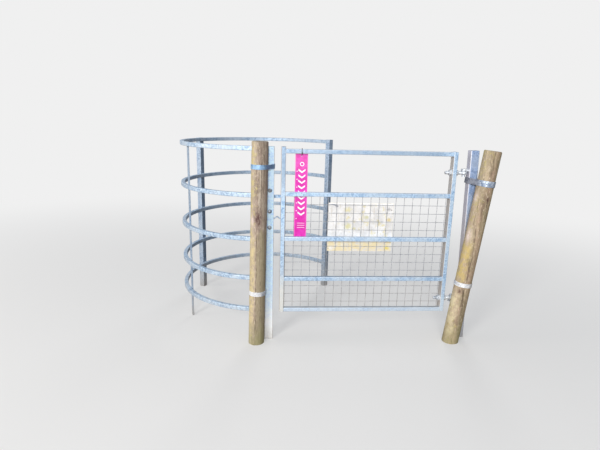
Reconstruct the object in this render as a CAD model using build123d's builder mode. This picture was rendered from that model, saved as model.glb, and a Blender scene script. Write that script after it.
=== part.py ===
"""Kissing gate: a mesh leaf that swings inside a round steel enclosure, strapped to two timber posts.

Millimetres, +Z up, ground at Z = 0. The origin is the middle of the closing post's foot.
The shut leaf lies along X, its hinge axis at +X, and the enclosure lies behind it, towards +Y.
"""

import os
from math import acos, atan2, cos, degrees, radians, sin, sqrt, tan

from build123d import *

os.makedirs("parts", exist_ok=True)

# Steel posts
post_height = 1160
post_size = 50
post_wall = 3
post_corner = 4
upright_size = 40

# Hinge line
axis_x = 1130
axis_y = 5
hinge_post_lean = 1.1
hinge_post_reach = 25
upper_hinge_drop = 130
lower_hinge_rise = 80

# Leaf frame
leaf_clearance = 39
hinge_stile_gap = 50
stile_width = 25
stile_depth = 50
stile_wall = 3
stile_corner = 3
rail_height = 25
rail_depth = 25
rail_wall = 3
rail_corner = 3
leaf_ground_gap = 175
rail_shares = [0, 0.2566, 0.5348, 0.794, 1]
closing_stile_rise = 11

# Weld mesh
mesh_pitch = 50
mesh_wire = 3
mesh_fusion = 1.2
mesh_behind_rails = 2
mesh_side_gap = 3
mesh_top_drop = 13

# Notice board and hanging tag
board_width = 388
board_height = 292
board_thickness = 3
board_inset = 279
board_drop = 51
tag_width = 72
tag_length = 490
tag_thickness = 1.2
tag_inset = 79.5
tag_hole = 12
tag_hole_drop = 13
tag_below_rail = 2
tie_width = 2.5
tie_thickness = 1.2
tie_slack = 0.5

# Eye bolts and their hooks
bolt_radius = 10
bolt_hole_gap = 0.5
eye_radius = 19
eye_height = 20
pin_clearance = 0.05
bolt_length = 112
nut_across_flats = 30
nut_thickness = 14
nut_gap = 0.1
nut_room = 2
hook_thickness = 12
hook_radius = 17
hook_gap = 1
pin_overrun = 12

# Stops on the leaf
stop_drop = 288
stop_overlap = 35
stop_bar_depth = 10
stop_bar_height = 18
bent_stop_drop = 421
bent_stop_rise = 14
bent_stop_radius = 4
bent_stop_bend = 8

# Enclosure hoops
hoop_radius = 572.5
hoop_size = 25
hoop_wall = 3
hoop_corner = 3
hoop_centre_x = -13
hoop_end_y = 7
lowest_hoop_level = 181.5
hoop_shares = [0, 0.2753, 0.543, 0.793, 1]
enclosure_lean = 0.5
rear_post_reach = 1135.6
back_upright_angle = 147.5
side_upright_angle = 206
rear_post_rise = 4
back_upright_rise = 0
side_upright_width = 20
side_upright_thickness = 8

# Timber posts and their straps
left_timber_radius = 46
left_timber_height = 1190
left_timber_foot = (-72, -64)
left_timber_lean = 0.85
right_timber_radius = 48.5
right_timber_height = 1172
right_timber_foot_x = 1121
right_timber_gap = 0.3
right_timber_lean = 6.6
timber_chamfer = 4
strap_thickness = 3
strap_fit = 0.3
strap_height = 25
wide_strap_height = 34
left_upper_strap_drop = 108
left_lower_level = 320
right_upper_strap_drop = 181
right_lower_level = 375

# Places that follow from the sizes above
leaf_left = post_size / 2 + leaf_clearance
hinge_stile_right = axis_x - hinge_stile_gap
hinge_stile_left = hinge_stile_right - stile_width
closing_stile_right = leaf_left + stile_width
leaf_front = axis_y - stile_depth / 2
leaf_back = leaf_front + stile_depth
leaf_bottom = leaf_ground_gap
leaf_top = post_height - closing_stile_rise
rail_span = leaf_top - leaf_bottom - rail_height
rail_levels = [leaf_top - rail_height / 2 - share * rail_span for share in rail_shares]
top_hoop_level = post_height - hoop_size / 2
hoop_levels = [top_hoop_level - share * (top_hoop_level - lowest_hoop_level) for share in hoop_shares]
rail_length = hinge_stile_left - closing_stile_right
rail_middle_x = closing_stile_right + rail_length / 2
rail_middle_y = leaf_front + rail_depth / 2
rail_back = leaf_front + rail_depth
mesh_front = rail_back + mesh_behind_rails
mesh_middle = mesh_front + mesh_wire - mesh_fusion
mesh_back = mesh_middle + mesh_wire
mesh_columns = int((rail_length - 2 * mesh_side_gap) // mesh_pitch) + 1
mesh_top_row = rail_levels[1] - mesh_top_drop
mesh_rows = int((mesh_top_row - leaf_bottom) // mesh_pitch) + 1
lower_hinge_aim = leaf_bottom + lower_hinge_rise
mesh_gaps_to_hinge = round((mesh_top_row - lower_hinge_aim) / mesh_pitch - 0.5) + 0.5
upper_hinge_height = post_height - upper_hinge_drop
lower_hinge_height = mesh_top_row - mesh_gaps_to_hinge * mesh_pitch
hoop_centre_y = hoop_end_y + hoop_radius
to_axis = Vector(axis_x, axis_y) - Vector(hoop_centre_x, hoop_centre_y)
side_squares = hoop_radius**2 + to_axis.length**2 - rear_post_reach**2
rear_post_cosine = side_squares / (2 * hoop_radius * to_axis.length)
rear_post_angle = degrees(acos(rear_post_cosine) + atan2(to_axis.Y, to_axis.X))
right_timber_foot = (right_timber_foot_x, axis_y - post_size / 2 - right_timber_gap - right_timber_radius)
hinge_post_foot_x = (
    axis_x
    + hinge_post_reach
    + post_size / 2 / cos(radians(hinge_post_lean))
    + upper_hinge_height * tan(radians(hinge_post_lean))
)


def leaning_plane(foot, lean):
    """The plane of a post's section at the ground, its axis leaning by lean degrees towards +X."""
    tilt = radians(lean)
    return Plane((foot[0], foot[1], 0), x_dir=(cos(tilt), 0, -sin(tilt)), z_dir=(sin(tilt), 0, cos(tilt)))


def ring_plane(angle, radius=0):
    """A plane across the leaning enclosure, near the ground, its x axis pointing away from the centre."""
    tilt = radians(enclosure_lean)
    base = Plane(
        origin=(hoop_centre_x, hoop_centre_y, hoop_radius * sin(tilt)),
        x_dir=(1, 0, 0),
        z_dir=(0, -sin(tilt), cos(tilt)),
    )
    outward = base.x_dir * cos(radians(angle)) + base.y_dir * sin(radians(angle))
    return Plane(base.origin + outward * radius, x_dir=outward, z_dir=base.z_dir)


def box_core(plane, size, height):
    """The outer form of a steel post, from the ground up."""
    below = size
    with BuildPart() as core:
        with BuildSketch(plane.offset(-below)):
            RectangleRounded(size, size, post_corner)
        extrude(amount=below + height)
        split(bisect_by=Plane.XY, keep=Keep.TOP)
    return core


def box_post(plane, size, height):
    """A square hollow post with a welded top and a closed foot."""
    inner = size - 2 * post_wall
    with BuildPart() as post:
        add(box_core(plane, size, height).part)
        with BuildSketch(plane.offset(post_wall)):
            RectangleRounded(inner, inner, post_corner - post_wall)
        extrude(amount=height - 2 * post_wall, mode=Mode.SUBTRACT)
    return post


def timber_post(foot, lean, radius, height):
    """A round machined timber with a chamfered top."""
    plane = leaning_plane(foot, lean)
    with BuildPart() as timber:
        with BuildSketch(plane.offset(-radius)):
            Circle(radius)
        extrude(amount=radius + height)
        split(bisect_by=Plane.XY, keep=Keep.TOP)
        chamfer(timber.edges().group_by(Axis.Z)[-1], timber_chamfer)
    return timber


def finish(piece, name):
    """Label a finished piece and write it."""
    piece.part.label = name
    export_step(piece.part, f"parts/{name}.step")


# Steel posts
closing_plane = Plane.XY
hinge_plane = leaning_plane((hinge_post_foot_x, axis_y), -hinge_post_lean)
rear_plane = ring_plane(rear_post_angle, hoop_radius)
back_plane = ring_plane(back_upright_angle, hoop_radius + hoop_size / 2 + upright_size / 2)

closing_core = box_core(closing_plane, post_size, post_height)
hinge_core = box_core(hinge_plane, post_size, post_height)
rear_core = box_core(rear_plane, upright_size, post_height + rear_post_rise)

finish(box_post(closing_plane, post_size, post_height), "closing_post")
finish(box_post(hinge_plane, post_size, post_height), "hinge_post")
finish(box_post(rear_plane, upright_size, post_height + rear_post_rise), "rear_post")
finish(box_post(back_plane, upright_size, post_height + back_upright_rise), "back_upright")

side_upright_face = sqrt((hoop_radius - hoop_size / 2) ** 2 - (side_upright_width / 2) ** 2)
side_plane = ring_plane(side_upright_angle, side_upright_face - side_upright_thickness / 2)
with BuildPart() as side_upright:
    with BuildSketch(side_plane.offset(-hoop_size)):
        Rectangle(side_upright_thickness, side_upright_width)
    extrude(amount=hoop_size + post_height)
    split(bisect_by=Plane.XY, keep=Keep.TOP)
finish(side_upright, "side_upright")

# Hoops: box section rolled round the enclosure, each end butted to its post
hoop_end_angle = 270
hoop_sweep = hoop_end_angle - rear_post_angle
rear_end = ring_plane(rear_post_angle)
for number, level in enumerate(hoop_levels, start=1):
    with BuildPart() as hoop:
        with BuildSketch(Plane(rear_end.origin, x_dir=rear_end.x_dir, z_dir=-rear_end.y_dir)):
            with Locations((hoop_radius, level)):
                RectangleRounded(hoop_size, hoop_size, hoop_corner)
                Rectangle(hoop_size - 2 * hoop_wall, hoop_size - 2 * hoop_wall, mode=Mode.SUBTRACT)
        revolve(axis=Axis(rear_end.origin, rear_end.z_dir), revolution_arc=hoop_sweep)
        add(closing_core.part, mode=Mode.SUBTRACT)
        add(rear_core.part, mode=Mode.SUBTRACT)
    finish(hoop, f"hoop_{number}")

# Timber posts
left_wood = timber_post(left_timber_foot, left_timber_lean, left_timber_radius, left_timber_height)
right_wood = timber_post(right_timber_foot, right_timber_lean, right_timber_radius, right_timber_height)
finish(left_wood, "left_timber_post")
finish(right_wood, "right_timber_post")


def strap(timber, steel, level, height, corners, core=None):
    """A flat band drawn tight round a timber and the given corners of its steel post.

    timber is (foot, lean, radius) and steel is (foot, lean). The band lies square to the timber, with the
    slack sideways that the other lean of the steel asks for. With a core its ends are cut and welded there.
    """
    timber_foot, timber_lean, timber_radius = timber
    steel_foot, steel_lean = steel
    plane = leaning_plane(timber_foot, timber_lean).offset(level / cos(radians(timber_lean)))
    crossing = plane.intersect(Axis((*steel_foot, 0), leaning_plane(steel_foot, steel_lean).z_dir))
    centre = plane.to_local_coords(crossing)
    between = radians(abs(timber_lean - steel_lean))
    reach_x = post_size / 2 / cos(between) + height / 2 * tan(between) - post_corner
    reach_y = post_size / 2 - post_corner
    turns = [(centre.X + i * reach_x, centre.Y + j * reach_y) for i, j in corners]
    with BuildPart() as band:
        with BuildSketch(plane.offset(-height / 2)):
            for growth, mode in ((strap_fit + strap_thickness, Mode.ADD), (strap_fit, Mode.SUBTRACT)):
                with BuildSketch(mode=Mode.PRIVATE) as outline:
                    Circle(timber_radius + growth)
                    with Locations(*turns):
                        Circle(post_corner + growth)
                    make_hull()
                add(outline.sketch, mode=mode)
        extrude(amount=height)
        if core:
            add(core.part, mode=Mode.SUBTRACT)
    return band


all_round = ((-1, -1), (1, -1), (-1, 1), (1, 1))
left_timber = (left_timber_foot, left_timber_lean, left_timber_radius)
right_timber = (right_timber_foot, right_timber_lean, right_timber_radius)
left_steel = ((0, 0), 0)
right_steel = ((hinge_post_foot_x, axis_y), -hinge_post_lean)
beside_left = ((-1, -1), (-1, 1))
beside_right = ((-1, -1), (1, -1))

left_upper_level = post_height - left_upper_strap_drop
right_upper_level = post_height - right_upper_strap_drop
left_upper = strap(left_timber, left_steel, left_upper_level, strap_height, all_round)
left_lower = strap(left_timber, left_steel, left_lower_level, strap_height, beside_left, closing_core)
right_upper = strap(right_timber, right_steel, right_upper_level, wide_strap_height, all_round)
right_lower = strap(right_timber, right_steel, right_lower_level, strap_height, beside_right, hinge_core)
finish(left_upper, "left_upper_strap")
finish(left_lower, "left_lower_strap")
finish(right_upper, "right_upper_strap")
finish(right_lower, "right_lower_strap")


# Gate hooks: a lug welded to the hinge post with a pin standing on it, or hanging below the upper one
def gate_hook(level, side):
    """side is 1 for the upper hook, whose lug is above the eye, and -1 for the lower one."""
    lug_near = level + side * (eye_height / 2 + hook_gap)
    lug_far = lug_near + side * hook_thickness
    pin_end = level - side * (eye_height / 2 + pin_overrun)
    low, high = sorted((lug_near, lug_far))
    with BuildPart() as hook:
        with BuildSketch(Plane.XY.offset(low)):
            with Locations((axis_x, axis_y)):
                Circle(hook_radius)
                Rectangle(2 * post_size, 2 * hook_radius, align=(Align.MIN, Align.CENTER))
        extrude(amount=high - low)
        add(hinge_core.part, mode=Mode.SUBTRACT)
        left_of_post = hook.solids().sort_by(Axis.X)[0]
        with BuildSketch(Plane.XY.offset(min(pin_end, lug_far))):
            with Locations((axis_x, axis_y)):
                Circle(bolt_radius - pin_clearance)
        extrude(amount=abs(lug_far - pin_end))
        for spare in hook.solids().sort_by(Axis.X)[1:]:
            add(spare, mode=Mode.SUBTRACT)
    return hook


finish(gate_hook(upper_hinge_height, 1), "upper_hook")
finish(gate_hook(lower_hinge_height, -1), "lower_hook")

# Leaf stiles
hinge_levels = (upper_hinge_height, lower_hinge_height)


def stile(left, height):
    """An upright of the leaf, a box section with both ends closed."""
    middle = (left + stile_width / 2, (leaf_front + leaf_back) / 2)
    with BuildPart() as upright:
        with BuildSketch(Plane.XY.offset(leaf_bottom)):
            with Locations(middle):
                RectangleRounded(stile_width, stile_depth, stile_corner)
        extrude(amount=height)
        with BuildSketch(Plane.XY.offset(leaf_bottom + stile_wall)):
            with Locations(middle):
                Rectangle(stile_width - 2 * stile_wall, stile_depth - 2 * stile_wall)
        extrude(amount=height - 2 * stile_wall, mode=Mode.SUBTRACT)
    return upright


leaf_height = leaf_top - leaf_bottom
finish(stile(leaf_left, leaf_height + closing_stile_rise), "closing_stile")

with BuildPart() as hinge_stile:
    add(stile(hinge_stile_left, leaf_height).part)
    for level in hinge_levels:
        with BuildSketch(Plane.YZ.offset(hinge_stile_left)):
            with Locations((axis_y, level)):
                Circle(bolt_radius + bolt_hole_gap)
        extrude(amount=stile_width, mode=Mode.SUBTRACT)
finish(hinge_stile, "hinge_stile")

# Leaf rails, between the stiles and flush with their front
for number, level in enumerate(rail_levels, start=1):
    with BuildPart() as rail:
        with BuildSketch(Plane.YZ.offset(closing_stile_right)):
            with Locations((rail_middle_y, level)):
                RectangleRounded(rail_depth, rail_height, rail_corner)
                Rectangle(rail_depth - 2 * rail_wall, rail_height - 2 * rail_wall, mode=Mode.SUBTRACT)
        extrude(amount=rail_length)
    finish(rail, f"rail_{number}")

# Weld mesh, its cross wires behind the upright ones and ending on the stiles' inner faces, and the last
# upright wire cut short round the lower nut
mesh_height = (mesh_rows - 1) * mesh_pitch + mesh_wire
mesh_middle_z = mesh_top_row - (mesh_rows - 1) * mesh_pitch / 2
mesh_middle_x = closing_stile_right + mesh_side_gap + (mesh_columns - 1) * mesh_pitch / 2
with BuildPart() as mesh_panel:
    with BuildSketch(Plane.XZ.offset(-mesh_front)):
        with Locations((mesh_middle_x, mesh_middle_z)):
            with GridLocations(mesh_pitch, 0, mesh_columns, 1):
                Rectangle(mesh_wire, mesh_height)
    extrude(amount=-mesh_wire)
    with BuildSketch(Plane.XZ.offset(-mesh_middle)):
        with Locations((rail_middle_x, mesh_middle_z)):
            with GridLocations(0, mesh_pitch, 1, mesh_rows):
                Rectangle(rail_length, mesh_wire)
    extrude(amount=-mesh_wire)
    with BuildSketch(Plane.YZ.offset(hinge_stile_left)):
        with Locations((axis_y, lower_hinge_height)):
            RegularPolygon(nut_across_flats / 2 + nut_room, 6, major_radius=False)
    extrude(amount=-mesh_pitch, mode=Mode.SUBTRACT)
finish(mesh_panel, "mesh_panel")

# Notice board against the back of the mesh
board_left = leaf_left + board_inset
board_top = rail_levels[1] - board_drop
board_back = mesh_back + board_thickness
board_plane = Plane(origin=(board_left, board_back, board_top), x_dir=(1, 0, 0), z_dir=(0, -1, 0))
with BuildPart() as notice_board:
    with BuildSketch(board_plane):
        Rectangle(board_width, board_height, align=(Align.MIN, Align.MAX))
    extrude(amount=board_thickness)
finish(notice_board, "notice_board")

# Plastic tag, hung in the gap between the rails and the mesh
tag_left = leaf_left + tag_inset
tag_top = leaf_top - rail_height - tag_below_rail
tag_back = mesh_front - (mesh_behind_rails - tag_thickness) / 2
tag_middle_x = tag_left + tag_width / 2
tag_hole_z = tag_top - tag_hole_drop
with BuildPart() as hanging_tag:
    with BuildSketch(Plane(origin=(tag_left, tag_back, tag_top), x_dir=(1, 0, 0), z_dir=(0, -1, 0))):
        Rectangle(tag_width, tag_length, align=(Align.MIN, Align.MAX))
        with Locations((tag_width / 2, -tag_hole_drop)):
            Circle(tag_hole / 2, mode=Mode.SUBTRACT)
    extrude(amount=tag_thickness)
finish(hanging_tag, "hanging_tag")

# Cable tie, one loop round the top rail and through the tag's hole
tie_anchor = (tag_back - tag_thickness / 2, tag_hole_z)
rail_corners = [
    (rail_middle_y + i * rail_depth / 2, rail_levels[0] + j * rail_height / 2)
    for i, j in ((-1, -1), (1, -1), (1, 1), (-1, 1))
]
with BuildPart() as tag_tie:
    with BuildSketch(Plane.YZ.offset(tag_middle_x - tie_width / 2)):
        with BuildSketch(mode=Mode.PRIVATE) as loop:
            with Locations(tie_anchor):
                Circle(tag_thickness)
            with BuildLine():
                Polyline(*rail_corners, close=True)
            make_face()
            make_hull()
        offset(loop.sketch, amount=tie_slack + tie_thickness, kind=Kind.ARC)
        offset(loop.sketch, amount=tie_slack, kind=Kind.ARC, mode=Mode.SUBTRACT)
    extrude(amount=tie_width)
finish(tag_tie, "tag_tie")


# Eye bolts through the hinge stile, each with a nut on both sides
def eye_bolt(level):
    bore = bolt_radius
    with BuildPart() as bolt:
        with BuildSketch(Plane.XY.offset(level - eye_height / 2)):
            with Locations((axis_x, axis_y)):
                Circle(eye_radius)
        extrude(amount=eye_height)
        with BuildSketch(Plane(origin=(axis_x, axis_y, level), x_dir=(0, 1, 0), z_dir=(-1, 0, 0))):
            Circle(bolt_radius)
        extrude(amount=bolt_length)
        with BuildSketch(Plane.XY.offset(level - eye_height / 2)):
            with Locations((axis_x, axis_y)):
                Circle(bore)
        extrude(amount=eye_height, mode=Mode.SUBTRACT)
    return bolt


def nut(left, level):
    with BuildPart() as hexagon:
        with BuildSketch(Plane.YZ.offset(left)):
            with Locations((axis_y, level)):
                RegularPolygon(nut_across_flats / 2, 6, major_radius=False)
                Circle(bolt_radius + nut_gap, mode=Mode.SUBTRACT)
        extrude(amount=nut_thickness)
    return hexagon


for name, level in (("upper", upper_hinge_height), ("lower", lower_hinge_height)):
    finish(eye_bolt(level), f"{name}_eye_bolt")
    finish(nut(hinge_stile_left - nut_thickness, level), f"{name}_inner_nut")
    finish(nut(hinge_stile_right, level), f"{name}_outer_nut")

# Stops on the closing stile's back, reaching behind the closing post
stop_height = post_height - stop_drop
bent_stop_height = post_height - bent_stop_drop
stop_left = post_size / 2 - stop_overlap
with BuildPart() as stop_bar:
    with BuildSketch(Plane(origin=(stop_left, leaf_back, stop_height), x_dir=(1, 0, 0), z_dir=(0, -1, 0))):
        Rectangle(closing_stile_right - stop_left, stop_bar_height, align=(Align.MIN, Align.CENTER))
    extrude(amount=-stop_bar_depth)
finish(stop_bar, "stop_bar")

rod_y = leaf_back + bent_stop_radius
rod_right = closing_stile_right - bent_stop_radius
rod_knee = post_size / 2 + leaf_clearance
with BuildPart() as bent_stop:
    with BuildLine() as rod_path:
        FilletPolyline(
            (rod_right, rod_y, bent_stop_height),
            (rod_knee, rod_y, bent_stop_height),
            (rod_knee - leaf_clearance / 2, rod_y, bent_stop_height + bent_stop_rise),
            (rod_knee - leaf_clearance, rod_y, bent_stop_height),
            (stop_left, rod_y, bent_stop_height),
            radius=bent_stop_bend,
        )
    with BuildSketch(Plane(origin=rod_path.line @ 0, z_dir=rod_path.line % 0)):
        Circle(bent_stop_radius)
    sweep()
finish(bent_stop, "bent_stop")
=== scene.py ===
import math

import bpy
import numpy as np
from mathutils import Matrix, Vector


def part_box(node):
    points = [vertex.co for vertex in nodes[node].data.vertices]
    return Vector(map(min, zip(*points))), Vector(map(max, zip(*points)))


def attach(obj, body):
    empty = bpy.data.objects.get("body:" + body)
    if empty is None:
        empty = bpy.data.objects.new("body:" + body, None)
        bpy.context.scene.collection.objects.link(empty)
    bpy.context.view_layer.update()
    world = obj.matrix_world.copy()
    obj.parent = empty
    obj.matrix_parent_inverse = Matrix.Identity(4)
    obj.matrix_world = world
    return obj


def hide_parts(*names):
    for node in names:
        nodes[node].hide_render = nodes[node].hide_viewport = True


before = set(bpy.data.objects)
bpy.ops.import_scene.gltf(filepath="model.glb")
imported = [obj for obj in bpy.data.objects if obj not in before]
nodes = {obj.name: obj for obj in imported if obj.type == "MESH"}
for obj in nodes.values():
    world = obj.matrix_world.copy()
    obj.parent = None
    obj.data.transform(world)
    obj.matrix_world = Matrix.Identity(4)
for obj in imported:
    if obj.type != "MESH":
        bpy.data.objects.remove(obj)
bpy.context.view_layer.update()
rng = np.random.default_rng(8)

MM = 0.001

# The hinge line, and the levels of the two hinges on it
HINGE_X = 1.130
HINGE_Y = 0.005
UPPER_HINGE = 1030 * MM
LOWER_HINGE = 255 * MM

# The enclosure leans a little to the front, about its front end
RING_RADIUS = 572.5 * MM
RING_HALF = 12.5 * MM
RING_LEAN = math.radians(0.5)
RING_CENTRE = Vector((-13 * MM, 579.5 * MM, RING_RADIUS * math.sin(RING_LEAN)))
RING_UP = Vector((0, -math.sin(RING_LEAN), math.cos(RING_LEAN)))
RING_BACK = Vector((0, math.cos(RING_LEAN), math.sin(RING_LEAN)))
REAR_POST_ANGLE = 35.9
BACK_UPRIGHT_ANGLE = 147.5
SIDE_UPRIGHT_ANGLE = 206

# The camera, at the photograph's viewing angle
CAMERA_PLACE = Vector((0, -2.561, 1.293))
CAMERA_RIGHT = Vector((0.99766, -0.06408, 0.02402))
CAMERA_DOWN = Vector((0.00917, -0.2227, -0.97484))
CAMERA_FORWARD = Vector((0.06782, 0.97278, -0.22159))
LENS = 27
SENSOR = 36

# The light's aim and colour
LAMP_AIM = Vector((0.4, 0.2, 0.6))
WARM_WHITE = (1.0, 0.985, 0.96)


def colour(red, green, blue):
    """A screen colour, 0 to 255 a channel, as the linear colour that a shader takes."""
    def linear(value):
        value /= 255
        return value / 12.92 if value <= 0.04045 else ((value + 0.055) / 1.055) ** 2.4
    return (linear(red), linear(green), linear(blue), 1)


BACKGROUND = colour(240, 240, 240)


class Tree:
    """A node tree with short calls that make and link its nodes."""

    def __init__(self, tree):
        self.tree = tree

    def node(self, kind, inputs=None, **settings):
        made = self.tree.nodes.new("ShaderNode" + kind)
        for name, value in settings.items():
            setattr(made, name, value)
        for name, value in (inputs or {}).items():
            if isinstance(value, bpy.types.NodeSocket):
                self.tree.links.new(value, made.inputs[name])
            else:
                made.inputs[name].default_value = value
        return made

    def math(self, operation, first, second=0.0):
        return self.node("Math", {0: first, 1: second}, operation=operation).outputs[0]

    def plus(self, first, second):
        return self.math("ADD", first, second)

    def minus(self, first, second):
        return self.math("SUBTRACT", first, second)

    def times(self, first, second):
        return self.math("MULTIPLY", first, second)

    def larger(self, first, second):
        return self.math("MAXIMUM", first, second)

    def unsigned(self, value):
        return self.math("ABSOLUTE", value)


class Material(Tree):
    """A principled material with short calls for the nodes that feed it."""

    def __init__(self, name, roughness=0.5, metallic=0.0, specular=0.5):
        self.made = bpy.data.materials.new(name)
        self.made.use_nodes = True
        super().__init__(self.made.node_tree)
        self.shader = self.tree.nodes["Principled BSDF"]
        self.shader.inputs["Roughness"].default_value = roughness
        self.shader.inputs["Metallic"].default_value = metallic
        self.shader.inputs["Specular IOR Level"].default_value = specular
        coordinates = self.node("TexCoord").outputs
        self.place = coordinates["Object"]
        self.x, self.y, self.z = self.node("SeparateXYZ", {"Vector": self.place}).outputs
        self.facing = self.node("SeparateXYZ", {"Vector": coordinates["Normal"]}).outputs

    def feed(self, name, socket):
        self.tree.links.new(socket, self.shader.inputs[name])

    def stretched(self, x, y, z):
        """The place with each direction scaled, for marks that run longer one way."""
        return self.node("VectorMath", {0: self.place, 1: (x, y, z)}, operation="MULTIPLY").outputs[0]

    def noise(self, scale, detail=3.0, rough=0.55, place=None, distortion=0.0):
        inputs = {"Vector": place or self.place, "Scale": scale, "Detail": detail, "Roughness": rough,
                  "Distortion": distortion}
        return self.node("TexNoise", inputs).outputs["Fac"]

    def band(self, value, low, high, out_low=0.0, out_high=1.0):
        """value from low to high, smoothed and carried to out_low to out_high."""
        inputs = {"Value": value, "From Min": low, "From Max": high, "To Min": out_low, "To Max": out_high}
        return self.node("MapRange", inputs, interpolation_type="SMOOTHSTEP").outputs["Result"]

    def mix(self, factor, first, second):
        """Two colours mixed. Inputs 6 and 7 are the node's colours, and output 2 is the colour it gives."""
        return self.node("Mix", {0: factor, 6: first, 7: second}, data_type="RGBA").outputs[2]

    def rounded(self, radius):
        return self.node("Bevel", {"Radius": radius}, samples=6).outputs["Normal"]

    def bump(self, height, depth, strength, normal=None):
        inputs = {"Height": height, "Distance": depth, "Strength": strength}
        if normal is not None:
            inputs["Normal"] = normal
        return self.node("Bump", inputs).outputs["Normal"]


def spangle(m):
    """A value for each zinc crystal. The crystals' edges waver."""
    noise = m.node("TexNoise", {"Vector": m.place, "Scale": 90.0}).outputs["Color"]
    wobble = m.node("VectorMath", {0: noise, "Scale": 6 * MM}, operation="SCALE").outputs[0]
    warped = m.node("VectorMath", {0: m.place, 1: wobble}, operation="ADD").outputs[0]
    crystals = m.node("TexVoronoi", {"Vector": warped, "Scale": 105.0}).outputs["Color"]
    return m.node("SeparateColor", {0: crystals}).outputs[0]


def hoop_inner_shade(m):
    """How dark the hoops' inner faces are: most at the far left, less at the right and on the top hoop."""
    far_left, right_and_top = 0.52, 0.26
    outward = m.plus(m.times(m.facing[0], m.minus(m.x, RING_CENTRE.x)),
                     m.times(m.facing[1], m.minus(m.y, RING_CENTRE.y)))
    deepest = m.larger(m.band(m.x, -0.34, -0.08, far_left, 0.08), m.band(m.x, 0.20, 0.42, 0.0, right_and_top))
    top = m.band(m.z, 1.0, 1.1)
    deepest = m.larger(m.times(deepest, m.minus(1.0, top)), m.times(top, right_and_top))
    return m.times(m.band(outward, 0.0, -0.3), deepest)


def galvanised(name, pale, deep, chalk, edge=2.2 * MM, metallic=0.25, side_shade=0.5, ring=False, soil=None,
               soil_from=0.18, soil_to=0.56, left_reflection=0.0, left_reflection_tone=colour(214, 204, 192), corners=0.0,
               top_shade=0.0, ledges=0.0, shade_left_of=None):
    """Hot-dip zinc: crystal spangle, chalky patches, dull runs, painted side shade and soil near the ground.

    soil fades from the height soil_from up to soil_to. side_shade paints shade on the sides to the right and
    ring on the hoops' inner faces. left_reflection paints the warm ground's reflection on the sides to the
    left, and corners paints a highlight on the rounded edges. top_shade paints shade on the leaf near its top
    except at its hinge end, ledges greys low upward faces, and shade_left_of paints shade on what is to the
    left of that x.
    """
    m = Material(name, metallic=metallic)
    crystal = spangle(m)
    tone = m.plus(m.times(crystal, 0.45), m.times(m.noise(48.0, 4.0, 0.65), 0.55))
    base = m.mix(m.band(tone, 0.28, 0.68), deep, pale)
    patches = m.band(m.noise(9.0, 4.0, 0.6), 0.42, 0.62, 0.0, 0.5)
    base = m.mix(patches, base, chalk)
    runs = m.band(m.noise(30.0, 3.0, 0.6, m.stretched(1, 1, 0.12)), 0.52, 0.72, 0.0, 0.4)
    base = m.mix(runs, base, deep)
    specks = m.band(m.noise(230.0, 2.0), 0.60, 0.72, 0.0, 0.45)
    base = m.mix(specks, base, colour(112, 126, 142))
    # Painted shade on the leaf near its top, except at its hinge end
    if top_shade:
        painted_top_shade = m.times(m.band(m.z, 0.84, 1.02, 0.0, top_shade), m.band(m.x, 1.05, 0.95))
        base = m.mix(painted_top_shade, base, colour(132, 154, 178))
    # Painted highlight along the rounded corners
    if corners:
        across = m.unsigned(m.times(m.facing[0], m.facing[1]))
        along = m.unsigned(m.times(m.facing[1], m.facing[2]))
        corner_highlight = m.band(m.larger(across, along), 0.08, 0.34, 0.0, corners)
        base = m.mix(corner_highlight, base, colour(250, 252, 255))
    # Painted shade on the sides that face right, and with ring on the hoops' inner faces
    painted_side_shade = m.band(m.facing[0], 0.30, 0.75, 0.0, side_shade)
    if ring:
        painted_side_shade = m.larger(painted_side_shade, hoop_inner_shade(m))
    base = m.mix(painted_side_shade, base, colour(70, 94, 122))
    if ledges:
        ledge = m.times(m.band(m.facing[2], 0.5, 0.9, 0.0, ledges), m.band(m.z, 0.5, 0.25))
        base = m.mix(ledge, base, colour(110, 108, 108))
    if soil:
        level = m.plus(m.z, m.times(m.noise(24.0, 4.0), 0.24))
        base = m.mix(m.band(level, soil_to, soil_from, 0.0, 0.75), base, soil)
        splash = m.plus(m.z, m.times(m.noise(60.0, 4.0), 0.12))
        base = m.mix(m.band(splash, 0.16, 0.05, 0.0, 0.3), base, colour(150, 136, 118))
    # Painted reflection of the warm ground on the sides that face left
    if left_reflection:
        base = m.mix(m.band(m.facing[0], -0.30, -0.75, 0.0, left_reflection), base, left_reflection_tone)
    # Painted shade on what lies to the left of that x
    if shade_left_of:
        base = m.mix(m.band(m.x, shade_left_of, shade_left_of - 0.02, 0.0, 0.65), base, colour(98, 95, 106))
    m.feed("Base Color", base)
    m.feed("Roughness", m.band(tone, 0.3, 0.7, 0.52, 0.38))
    height = m.plus(m.times(crystal, 0.35), m.times(m.noise(55.0, 3.0), 0.65))
    m.feed("Normal", m.bump(height, 0.5 * MM, 0.4, m.rounded(edge)))
    return m.made


# The leaf's zinc: painted reflection on the sides that face left, painted highlight on the corners and
# painted shade near the top
leaf_tones = (colour(186, 216, 246), colour(138, 172, 208), colour(206, 222, 236))
leaf_steel = galvanised("galvanised_leaf", *leaf_tones, soil=colour(216, 228, 240), soil_to=0.54, left_reflection=0.75,
                        corners=0.4, top_shade=0.6, ledges=1.0)
# On the closing stile the pale soil tone reaches up to 0.68 m: painted light on its lower part, set against
# the painted shade near its top
stile_steel = galvanised("galvanised_stile", *leaf_tones, soil=colour(232, 230, 220), soil_from=0.34,
                         soil_to=0.68, left_reflection=0.7, corners=0.4, top_shade=0.8)
# A brighter copy of the zinc for the closing post: painted light that makes up for the timber's shadow on it,
# and a painted highlight on its corners
lit_post_steel = galvanised("galvanised_post_lit", colour(204, 236, 255), colour(180, 216, 255),
                        colour(216, 238, 255), metallic=0.1, soil=colour(255, 252, 248), soil_to=0.50,
                        corners=0.6)
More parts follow.
